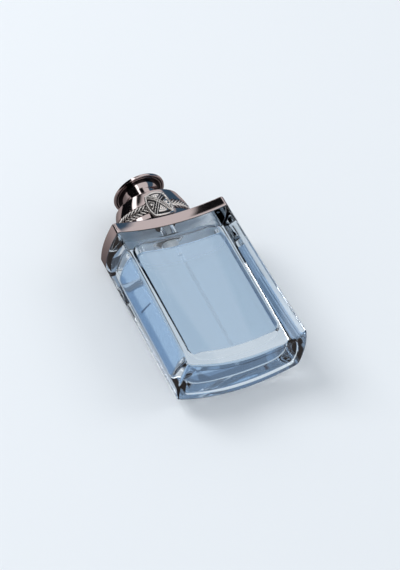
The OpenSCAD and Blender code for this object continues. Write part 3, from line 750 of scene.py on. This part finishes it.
class BOTTLE_OT_shoulder_plate(bpy.types.Operator):
    """Model the plated plate that caps the shoulders"""
    bl_idname = "bottle.shoulder_plate"
    bl_label = "Shoulder plate"

    def execute(self, context):
        s = context.scene.flask
        finish = context.scene.finish
        lip, hole_edge = 0.25, 0.2
        ceiling = PLATE_TOP - s.plate_wall
        hole_r = s.plate_hole / 2
        inner = drawn_in(s, PLATE_LOW, s.plate_wall)
        rings = [drawn_in(s, PLATE_LOW, lip), drawn_in(s, PLATE_LOW, 0.06, PLATE_LOW + 0.08)]
        rings += [ring(s, PLATE_LOW, level=z)
                  for z in (PLATE_LOW + lip, lerp(PLATE_LOW, PLATE_TOP, 0.5))]
        rings += [drawn_in(s, PLATE_LOW, d, PLATE_TOP - h) for h, d in reversed(quarter(s.plate_r))]
        top = rings[-1]
        rings += [towards_circle(top, r, share, z) for r, share, z in (
            (hole_r, 0.4, PLATE_TOP), (hole_r, 0.8, PLATE_TOP), (hole_r + hole_edge, 1, PLATE_TOP),
            (hole_r, 1, PLATE_TOP - hole_edge), (hole_r, 1, ceiling))]
        rings += [towards_circle(inner, hole_r, share, ceiling) for share in (0.6, 0)]
        rings += [inner, rings[0]]
        indices = [0] * (len(rings) - 5) + [1, 1, 1, 0]
        plate = piece(wrap(rings, closed_path=True, indices=indices), "collar_plate")
        metals = [rose_plating("rose_nickel_plating", finish.plating), raw_casting(finish)]
        finish_piece(plate, "bottle", metals, ["shoulder_plate"], sharp=40)
        return {"FINISHED"}


# ---- cap

OVAL_STEPS = 160
CIRCLE_STEPS = 96


def oval(half_l, half_w, level, inset=0.0):
    """Oval ring about the pump axis, before the cap's small turn."""
    half_l, half_w = half_l - inset, half_w - inset
    return [(half_l * cos(t), half_w * sin(t), level) for t in full_turn(OVAL_STEPS)]


def circle(radius, level):
    """Round ring about the pump axis."""
    return [(radius * cos(t), radius * sin(t), level) for t in full_turn(CIRCLE_STEPS)]


def seat_on_cap(bm, cap):
    """Turns a mesh with the cap and moves it from the pump axis into place."""
    bm.transform(Matrix.Translation((0, AXIS_Y, 0)) @ Matrix.Rotation(cap.turn, 4, "Z"))
    return bm


def merged(parts, name, cap):
    """One object from several closed meshes that sit on the cap."""
    bm = bmesh.new()
    for part in parts:
        mesh = bpy.data.meshes.new("part")
        part.to_mesh(mesh)
        part.free()
        bm.from_mesh(mesh)
        bpy.data.meshes.remove(mesh)
    return piece(seat_on_cap(bm, cap), name)


class BOTTLE_OT_cap_shell(bpy.types.Operator):
    """Model the oval skirt of the cap with its leaning band and domed deck"""
    bl_idname = "bottle.cap_shell"
    bl_label = "Cap shell"

    def execute(self, context):
        c = context.scene.cap
        finish = context.scene.finish
        belt_play, edge, cove = 0.15, 0.4, 0.7
        band_r, band_start, neck_in, lean = 0.5, 0.3, 0.3, 1.4
        cove_steps, band_steps, deck_steps = 16, 12, 8
        foot = (c.foot_l / 2, c.foot_w / 2)
        seat = [half - c.rope_t - belt_play for half in (c.belt_l / 2, c.belt_w / 2)]
        low = (c.belt_l / 2 - 0.5, c.belt_w / 2 - 0.1)
        high = (c.band_l / 2, c.band_w / 2)
        band_top = DECK_TOP - c.deck_h
        hollow = (c.hollow_l / 2, c.hollow_w / 2)
        ceiling = band_top - c.wall
        neck_r = c.neck_d / 2

        # Foot, the cove above it and the seat of the rope belt
        rings = [oval(*foot, CAP_LOW, edge), oval(*foot, CAP_LOW + 0.12, 0.12),
                 oval(*foot, CAP_LOW + edge)]
        rings += [oval(*foot, lerp(CAP_LOW + edge, BELT_LOW - edge, t), cove * sin(pi * t))
                  for t in shares(cove_steps)[:-1]]
        rings += [oval(*foot, BELT_LOW - edge), oval(*foot, BELT_LOW - 0.1, 0.1),
                  oval(*foot, BELT_LOW, edge), oval(*seat, BELT_LOW), oval(*seat, BELT_TOP),
                  oval(*low, BELT_TOP, band_start)]

        # Leaning band, domed deck and the hollow inside
        for t in shares(band_steps, 0):
            rings.append(oval(lerp(low[0], high[0], t ** lean), lerp(low[1], high[1], t),
                              lerp(BELT_TOP + band_start, band_top - band_r, t)))
        rings += [oval(*high, band_top - h, d) for h, d in reversed(quarter(band_r, 6)[:-1])]
        for t in shares(deck_steps):
            halves = [lerp(half - band_r, neck_r - neck_in, t) for half in high]
            rings.append(oval(*halves, band_top + c.deck_h * sin(pi / 2 * t) - 0.02))
        rings += [oval(neck_r, neck_r, ceiling, 0.4), oval(*hollow, ceiling),
                  oval(*hollow, CAP_LOW), rings[0]]
        shell = piece(seat_on_cap(wrap(rings, closed_path=True), c), "cap_skirt")
        plating = rose_plating("rose_nickel_skirt", finish.plating)
        finish_piece(shell, "cap", [plating], ["cap_shell"], sharp=35)
        return {"FINISHED"}


# Turned rings under the disc: inset from its edge, how far each hangs down, and 1 for metal
# darkened with painted shade
RIM_TURNING = (
    (2.3, 0.02, 1), (2.15, 0.26, 0), (2, 0.32, 0), (1.85, 0.26, 0), (1.7, -0.05, 1),
    (1.6, -0.12, 1), (1.35, -0.12, 1), (1.25, -0.05, 1), (1.15, 0.14, 0), (0.95, 0.29, 0),
    (0.65, 0.34, 0), (0.35, 0.26, 0), (0.12, 0.06, 0), (0, -0.25, 0))


class BOTTLE_OT_finial(bpy.types.Operator):
    """Model the flared finial and its inlaid disc"""
    bl_idname = "bottle.finial"
    bl_label = "Finial"

    def execute(self, context):
        c = context.scene.cap
        finish = context.scene.finish
        disc_r, neck_r, bore_r = c.disc_d / 2, c.neck_d / 2, c.bore_d / 2
        spigot_r = neck_r - 0.4
        chamfer, disc_edge, easing, fit, groove, bore_over = 0.2, 0.3, 0.15, 0.03, 0.12, 0.15
        trumpet_steps, painted_shade_steps = 20, 9
        foot = span("cap_finial", 2)[0]
        seat = DECK_TOP - 0.05
        trumpet_low = DECK_TOP + c.neck_h
        trumpet_top = trumpet_low + c.trumpet_h

        # Bore, spigot, neck and trumpet, whose upper half is darkened with painted shade
        profile = [(bore_r, trumpet_low + bore_over), (bore_r, foot + chamfer),
                   (bore_r + chamfer, foot), (spigot_r - chamfer, foot), (spigot_r, foot + chamfer),
                   (spigot_r, seat), (neck_r, seat), (neck_r, trumpet_low)]
        reach = disc_r - c.rim_w - neck_r
        profile += [(neck_r + reach * (1 - cos(a)), trumpet_low + c.trumpet_h * sin(a))
                    for a in (pi / 2 * t for t in shares(trumpet_steps))]
        indices = [0] * (len(profile) - 1 - painted_shade_steps) + [1] * painted_shade_steps

        # Turned rings, the disc's edge and the recess for the inlay
        profile += [(disc_r - inset, trumpet_top - proud) for inset, proud, _ in RIM_TURNING]
        indices += [in_painted_shade for _, _, in_painted_shade in RIM_TURNING]
        lip_r = disc_r - c.lip_w
        profile += [(disc_r, DISC_TOP - disc_edge), (disc_r - 0.09, DISC_TOP - 0.09),
                    (disc_r - disc_edge, DISC_TOP), (lip_r + easing, DISC_TOP),
                    (lip_r, DISC_TOP - easing), (lip_r, DISC_TOP - c.inlay_deep)]
        indices += [0] * (len(profile) - 1 - len(indices))
        turning = wrap([circle(r, z) for r, z in profile], indices=indices)
        finial = piece(seat_on_cap(turning, c), "flared_finial")
        # The second plating is the same nickel, darkened as painted shade under the flare
        metals = [rose_plating("rose_nickel_finial", finish.plating),
                  rose_plating("nickel_flare_painted_shade", finish.flare_painted_shade)]
        finish_piece(finial, "cap", metals, ["cap_finial"], sharp=35)

        # Inlay with one turned groove
        inlay_r = lip_r - fit
        low, high = span("finial_inlay", 2)
        rim = [(inlay_r, low), (inlay_r, high - easing), (inlay_r - easing, high),
               (inlay_r * 0.86, high), (inlay_r * 0.85, high - groove),
               (inlay_r * 0.82, high - groove), (inlay_r * 0.81, high)]
        inlay = piece(seat_on_cap(wrap([circle(r, z) for r, z in rim]), c), "disc_inlay")
        satin = turned_metal("satin_silver_disc", finish.silver, 0.28)
        finish_piece(inlay, "cap", [satin], ["finial_inlay"], sharp=30)
        return {"FINISHED"}


def oval_frame(half_l, half_w, t):
    """Point and outward normal of an oval at angle t."""
    point = Vector((half_l * cos(t), half_w * sin(t), 0))
    out = Vector((half_w * cos(t), half_l * sin(t), 0)).normalized()
    return point, out


class BOTTLE_OT_rope_belt(bpy.types.Operator):
    """Twist the two ropes of the belt, laid left and right so that they meet as a plait"""
    bl_idname = "bottle.rope_belt"
    bl_label = "Rope belt"

    def execute(self, context):
        c = context.scene.cap
        finish = context.scene.finish
        silver = antiqued_silver_with_painted_shade(finish, "rope_silver_tarnish_and_painted_shade", grain_mm=0.3, reach_mm=0.5)
        # Tarnish and painted shade between the strands: a dull black core that sets off their
        # crowns
        black = fine_grained("rope_core_tarnish_and_painted_shade", finish.tarnish_and_painted_shade, 0.6)
        deep, tall = c.rope_t / 2, c.rope_h / 2
        half_l, half_w = c.belt_l / 2 - deep, c.belt_w / 2 - deep
        around = 3 * (half_l + half_w)
        length = pi * (around - sqrt((3 * half_l + half_w) * (half_l + 3 * half_w)))
        turns = round(length / c.rope_lay)
        steps = turns * 24
        strand, core = 0.37, 0.6  # Shares of the rope's size

        def off(out, angle):
            """Way from the rope's middle to its flattened skin."""
            return out * cos(angle) * deep + Vector((0, 0, sin(angle) * tall))

        def section(middle, out, share):
            """Ring round a middle, at a share of the rope's size."""
            return [middle + off(out, angle) * share for angle in full_turn(12)]

        for name, level, lay in (("rope_upper", BELT_TOP - tall, 1),
                                 ("rope_lower", BELT_LOW + tall, -1)):
            lift = Vector((0, 0, level))
            strands = []
            for start in (0, 2 * pi / 3, 4 * pi / 3):
                rings = []
                for t in full_turn(steps):
                    point, out = oval_frame(half_l, half_w, t)
                    middle = point + lift + off(out, lay * t * turns + start) * (1 - strand)
                    rings.append(section(middle, out, strand))
                strands.append(wrap(rings + [rings[0]], closed_path=True))
            rings = []
            for t in full_turn(OVAL_STEPS):
                point, out = oval_frame(half_l, half_w, t)
                rings.append(section(point + lift, out, core))
            strands.append(wrap(rings + [rings[0]], closed_path=True, indices=[1] * OVAL_STEPS))
            rope = merged(strands, name + "_twisted", c)
            finish_piece(rope, "cap", [silver, black], [name])
        return {"FINISHED"}


# ---- front panel

BOW_STEPS = 20
SPOKE_STEPS = 8
SINK = -0.3  # Raised parts start this deep in the slab
SLAB_CROWN = ((1, -0.15), (0.98, 0), (0.8, 0.05), (0.5, 0.12), (0.2, 0.15))
# Raised fields: share of their border's size, and height
FIELD_STEPS = ((0.48, SINK), (0.48, 0.12), (0.45, 0.34), (0.4, 0.47), (0.34, 0.5), (0.31, 0.38),
               (0.1, 0.38))
# Rim and twin strap from the middle out: share of the half width, and height at a strap of 0.7
SECTION_H = 0.7
RIM_HALF = ((0, 0.7), (0.6, 0.62), (1, 0.3), (1, SINK))
TWIN_HALF = ((0.27, -0.1), (0.45, 0.6), (0.65, 0.7), (0.85, 0.62), (1, 0.3), (1, SINK))


def on_panel(panel, across, up, height):
    """Point on the curved panel: place across and up its face and height above it."""
    turn = asin(across / panel.radius)
    reach = panel.radius + height
    return Vector((reach * sin(turn), -reach * cos(turn), (PANEL_LOW + PANEL_TOP) / 2 + up))


def ridge(panel, path, half_w, half):
    """A raised strip along a flat path on the panel, from one half of its section."""
    right = [(q, h * panel.strap_t / SECTION_H) for q, h in half]
    section = [(-q, h) for q, h in reversed(right) if q] + right
    rings = []
    for i, spot in enumerate(path):
        run = path[min(i + 1, len(path) - 1)] - path[max(i - 1, 0)]
        side = Vector((-run.y, run.x)).normalized()
        rings.append([on_panel(panel, *(spot + side * (q * half_w)), h) for q, h in section])
    return wrap(rings)


def bowed_side(a, b, bow):
    """Points from a to b, bowed outwards from the middle of the panel."""
    run = b - a
    out = Vector((run.y, -run.x)).normalized()
    return [a + run * t + out * (bow * 4 * t * (1 - t)) for t in shares(BOW_STEPS, 0)]


class BOTTLE_OT_front_panel(bpy.types.Operator):
    """Model the curved front panel with its rim, crossed straps and studs"""
    bl_idname = "bottle.front_panel"
    bl_label = "Front panel"

    def execute(self, context):
        p = context.scene.panel
        c = context.scene.cap
        finish = context.scene.finish
        silver = antiqued_silver_with_painted_shade(finish, "strap_silver_tarnish_and_painted_shade", grain_mm=0.4, reach_mm=0.7)
        # Tarnish and painted shade in the recesses: a dull black ground that sets off the raised
        # silver
        ground = fine_grained("silver_ground_tarnish_and_painted_shade", finish.tarnish_and_painted_shade, 0.6)
        half_w = p.width / 2
        half_h = (PANEL_TOP - PANEL_LOW) / 2 - p.bow
        corners = [Vector(q) for q in ((-half_w, -half_h), (half_w, -half_h), (half_w, half_h),
                                       (-half_w, half_h))]
        sides = list(zip(corners, corners[1:] + corners[:1]))

        # Slab, crowned a little, and the four raised fields between the straps
        outline = []
        for a, b in sides:
            outline += bowed_side(a, b, p.bow)[:-1]
        slab = wrap([[on_panel(p, q.x * share, q.y * share, rise) for q in outline]
                     for share, rise in ((1, -p.thickness), *SLAB_CROWN)])
        stud_place = 0.62
        side, edge = (half_w + p.bow) * stud_place, half_h + p.bow
        middles = [Vector(q) for q in ((0, (p.cross_up - edge) / 2), (side, p.cross_up / 3),
                                       (0, (p.cross_up + edge) / 2), (-side, p.cross_up / 3))]
        cross = Vector((0, p.cross_up))
        fields = []
        for (a, b), middle in zip(sides, middles):
            spokes = shares(SPOKE_STEPS, 0)[:-1]
            border = [cross.lerp(a, t) for t in spokes] + bowed_side(a, b, p.bow)[:-1]
            border += [b.lerp(cross, t) for t in spokes]
            rings = [[on_panel(p, *middle.lerp(q, share), rise) for q in border]
                     for share, rise in FIELD_STEPS]
            fields.append(wrap(rings, indices=[1] * (len(rings) - 1)))
        slab = merged([slab] + fields, "panel_ground", c)
        finish_piece(slab, "cap", [ground, silver], ["front_panel"], sharp=40)

        # Rim and crossed straps
        inset = p.rim_w / 2
        inner = [q - Vector((inset * (1 if q.x > 0 else -1), inset * (1 if q.y > 0 else -1)))
                 for q in corners]
        strips = [ridge(p, bowed_side(a, b, p.bow), inset, RIM_HALF)
                  for a, b in zip(inner, inner[1:] + inner[:1])]
        for corner in inner:
            path = [cross.lerp(corner, t) for t in shares(2 * SPOKE_STEPS, 0)]
            strips.append(ridge(p, path, p.strap_w / 2, TWIN_HALF))
        straps = merged(strips, "panel_rim_and_straps", c)
        finish_piece(straps, "cap", [silver], ["panel_straps"], sharp=60)

        # Studs, flattened towards the slab
        flatness, proud = 0.75, 0.1
        knobs = []
        for middle in middles:
            bm = bmesh.new()
            bmesh.ops.create_uvsphere(bm, u_segments=24, v_segments=16, radius=p.stud_d / 2)
            bmesh.ops.scale(bm, vec=(1, flatness, 1), verts=bm.verts)
            bmesh.ops.translate(bm, vec=on_panel(p, *middle, proud), verts=bm.verts)
            knobs.append(bm)
        studs = merged(knobs, "panel_knobs", c)
        finish_piece(studs, "cap", [silver], ["panel_studs"])
        return {"FINISHED"}


# ---- pump

def dress_node(name, finish):
    """Puts a finish in a CAD node's slot."""
    slots = frame["nodes"][name].data.materials
    slots.clear()
    slots.append(finish)


class BOTTLE_OT_pump(bpy.types.Operator):
    """Finish the pump, its crimp and the spray head"""
    bl_idname = "bottle.pump"
    bl_label = "Pump and spray head"

    def execute(self, context):
        aluminium = context.scene.finish.aluminium
        # Drawn aluminium: satin at the crimp, and anodised bright at the sleeve and the head
        dress_node("crimp_ferrule", turned_metal("drawn_aluminium", aluminium, 0.25))
        dress_node("ferrule_sleeve", turned_metal("bright_anodised_aluminium", aluminium, 0.12))
        dress_node("actuator_shell", turned_metal("bright_anodised_head", aluminium, 0.14))
        # Ground and polished steel: a small neutral mirror
        dress_node("inlet_ball", turned_metal("polished_steel_ball", srgb("#C4C5C7"), 0.08))
        # Pressed nitrile rubber: dull charcoal
        dress_node("neck_gasket", fine_grained("nitrile_gasket", srgb("#4A4C4E"), 0.7))
        # Extruded polyethylene: clear, so the liquid nearly hides it
        dress_node("dip_tube", fine_grained("extruded_clear_polyethylene", srgb("#F4F8FA"), 0.2,
                                            Alpha=0.07))
        # Moulded polypropylene: milky white with a soft sheen
        white = fine_grained("moulded_polypropylene", srgb("#EEF0F0"), 0.38)
        for name in ("pump_housing", "pump_turret", "pump_stem", "pump_piston", "actuator_core",
                     "spray_insert", "cap_liner"):
            dress_node(name, white)
        return {"FINISHED"}


class BOTTLE_OT_return_spring(bpy.types.Operator):
    """Coil the return spring"""
    bl_idname = "bottle.return_spring"
    bl_label = "Return spring"

    def execute(self, context):
        p = context.scene.pump
        wire_r = p.spring_wire / 2
        left, right = span("return_spring", 0)
        low, high = span("return_spring", 2)
        coil_r = (right - left) / 2 - wire_r
        turn_steps, wire_steps, closing = 32, 10, 0.05
        wire = [(wire_r * cos(a), wire_r * sin(a)) for a in full_turn(wire_steps)]
        steps = p.spring_coils * turn_steps
        rings = []
        for t in shares(steps, 0):
            turn = 2 * pi * p.spring_coils * t
            level = lerp(low + wire_r, high - wire_r, t - sin(2 * pi * t) * closing)
            out = Vector((cos(turn), -sin(turn), 0))
            middle = Vector((0, AXIS_Y, level))
            rings.append([middle + out * (coil_r + x) + Vector((0, 0, z)) for x, z in wire])
        coil = piece(wrap(rings), "return_coil")
        # Drawn spring steel: bright wire with fine draw marks
        coil.data.materials.append(turned_metal("drawn_spring_steel", srgb("#B9BABD"), 0.2))
        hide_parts("return_spring")
        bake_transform(coil)
        return {"FINISHED"}


# ---- stage

def softbox(name, place, size, power):
    """A large square lamp that looks at the bottle's middle."""
    lamp = bpy.data.lights.new(name, "AREA")
    lamp.shape = "SQUARE"
    lamp.size = size
    lamp.energy = power
    thing = bpy.data.objects.new(name, lamp)
    thing.visible_glossy = False
    bpy.context.scene.collection.objects.link(thing)
    thing.location = place
    thing.rotation_mode = "QUATERNION"
    sight = Vector(BOTTLE_MIDDLE) - Vector(place)
    thing.rotation_quaternion = sight.to_track_quat("-Z", "Y")


def camera_matrix(st):
    """The camera's place, its line of sight and its roll, as a matrix."""
    sight = Vector((0.384164, 0.760251, 0.523867))
    right = Vector((0.890916, -0.156371, -0.426400))
    up = right.cross(sight)
    place = Vector((st.camera_x, st.camera_y, st.camera_z)) * MM
    turn = Matrix((right, up, -sight)).transposed().to_4x4()
    return Matrix.Translation(place) @ turn


class BOTTLE_OT_stage(bpy.types.Operator):
    """Set the pale board, the soft light and the camera"""
    bl_idname = "bottle.stage"
    bl_label = "Stage"

    def execute(self, context):
        scene = context.scene
        board_half, board_gap = 3000, 0.05
        bm = bmesh.new()
        bmesh.ops.create_grid(bm, x_segments=2, y_segments=2, size=board_half)
        upright = Matrix.Rotation(pi / 2, 3, "X")
        bmesh.ops.rotate(bm, cent=(0, 0, 0), matrix=upright, verts=bm.verts)
        bmesh.ops.translate(bm, vec=(0, BACK_Y + board_gap, 0), verts=bm.verts)
        floor = piece(bm, "board", smooth=False)
        floor.data.materials.append(stage_floor(scene.finish))

        world = bpy.data.worlds.new("studio")
        scene.world = world
        world.use_nodes = True
        world.node_tree.nodes.clear()
        studio_world(world.node_tree)

        softbox("key_softbox", (-0.9, -1.3, 0.9), size=0.9, power=16)
        softbox("fill_softbox", (1.2, -1.2, -0.2), size=0.8, power=4)

        cam = bpy.data.cameras.new("camera")
        cam.sensor_width = 36
        cam.lens = scene.stage.lens
        cam.clip_start = 0.01
        cam.clip_end = 50
        eye = bpy.data.objects.new("camera", cam)
        scene.collection.objects.link(eye)
        eye.matrix_world = camera_matrix(scene.stage)
        scene.camera = eye
        scene.view_settings.view_transform = "Standard"
        return {"FINISHED"}


# ---- add-on

class BOTTLE_PT_panel(bpy.types.Panel):
    """Lists the pieces of the bottle"""
    bl_idname = "BOTTLE_PT_panel"
    bl_label = "Aftershave bottle"
    bl_space_type = "VIEW_3D"
    bl_region_type = "UI"
    bl_category = "Bottle"

    def draw(self, context):
        for operator in OPERATORS:
            self.layout.operator(operator.bl_idname)
        for group in GROUPS:
            settings = getattr(context.scene, group)
            for name in settings.bl_rna.properties.keys():
                if name not in ("rna_type", "name"):
                    self.layout.prop(settings, name)


OPERATORS = (BOTTLE_OT_flask, BOTTLE_OT_liquid, BOTTLE_OT_shoulder_plate, BOTTLE_OT_cap_shell,
             BOTTLE_OT_finial, BOTTLE_OT_rope_belt, BOTTLE_OT_front_panel, BOTTLE_OT_pump,
             BOTTLE_OT_return_spring, BOTTLE_OT_stage)
GROUPS = {"flask": FlaskSettings, "cap": CapSettings, "panel": PanelSettings, "pump": PumpSettings,
          "finish": FinishSettings, "stage": StageSettings}


def register():
    """Registers the settings, operators and panel."""
    for name, group in GROUPS.items():
        bpy.utils.register_class(group)
        setattr(bpy.types.Scene, name, PointerProperty(type=group))
    for cls in OPERATORS + (BOTTLE_PT_panel,):
        bpy.utils.register_class(cls)


def unregister():
    """Takes the settings, operators and panel away again."""
    for cls in OPERATORS + (BOTTLE_PT_panel,):
        bpy.utils.unregister_class(cls)
    for name, group in GROUPS.items():
        delattr(bpy.types.Scene, name)
        bpy.utils.unregister_class(group)


def main():
    """Builds every piece and the stage."""
    register()
    for operator in OPERATORS:
        group, name = operator.bl_idname.split(".")
        getattr(getattr(bpy.ops, group), name)()


if __name__ == "__main__":
    main()
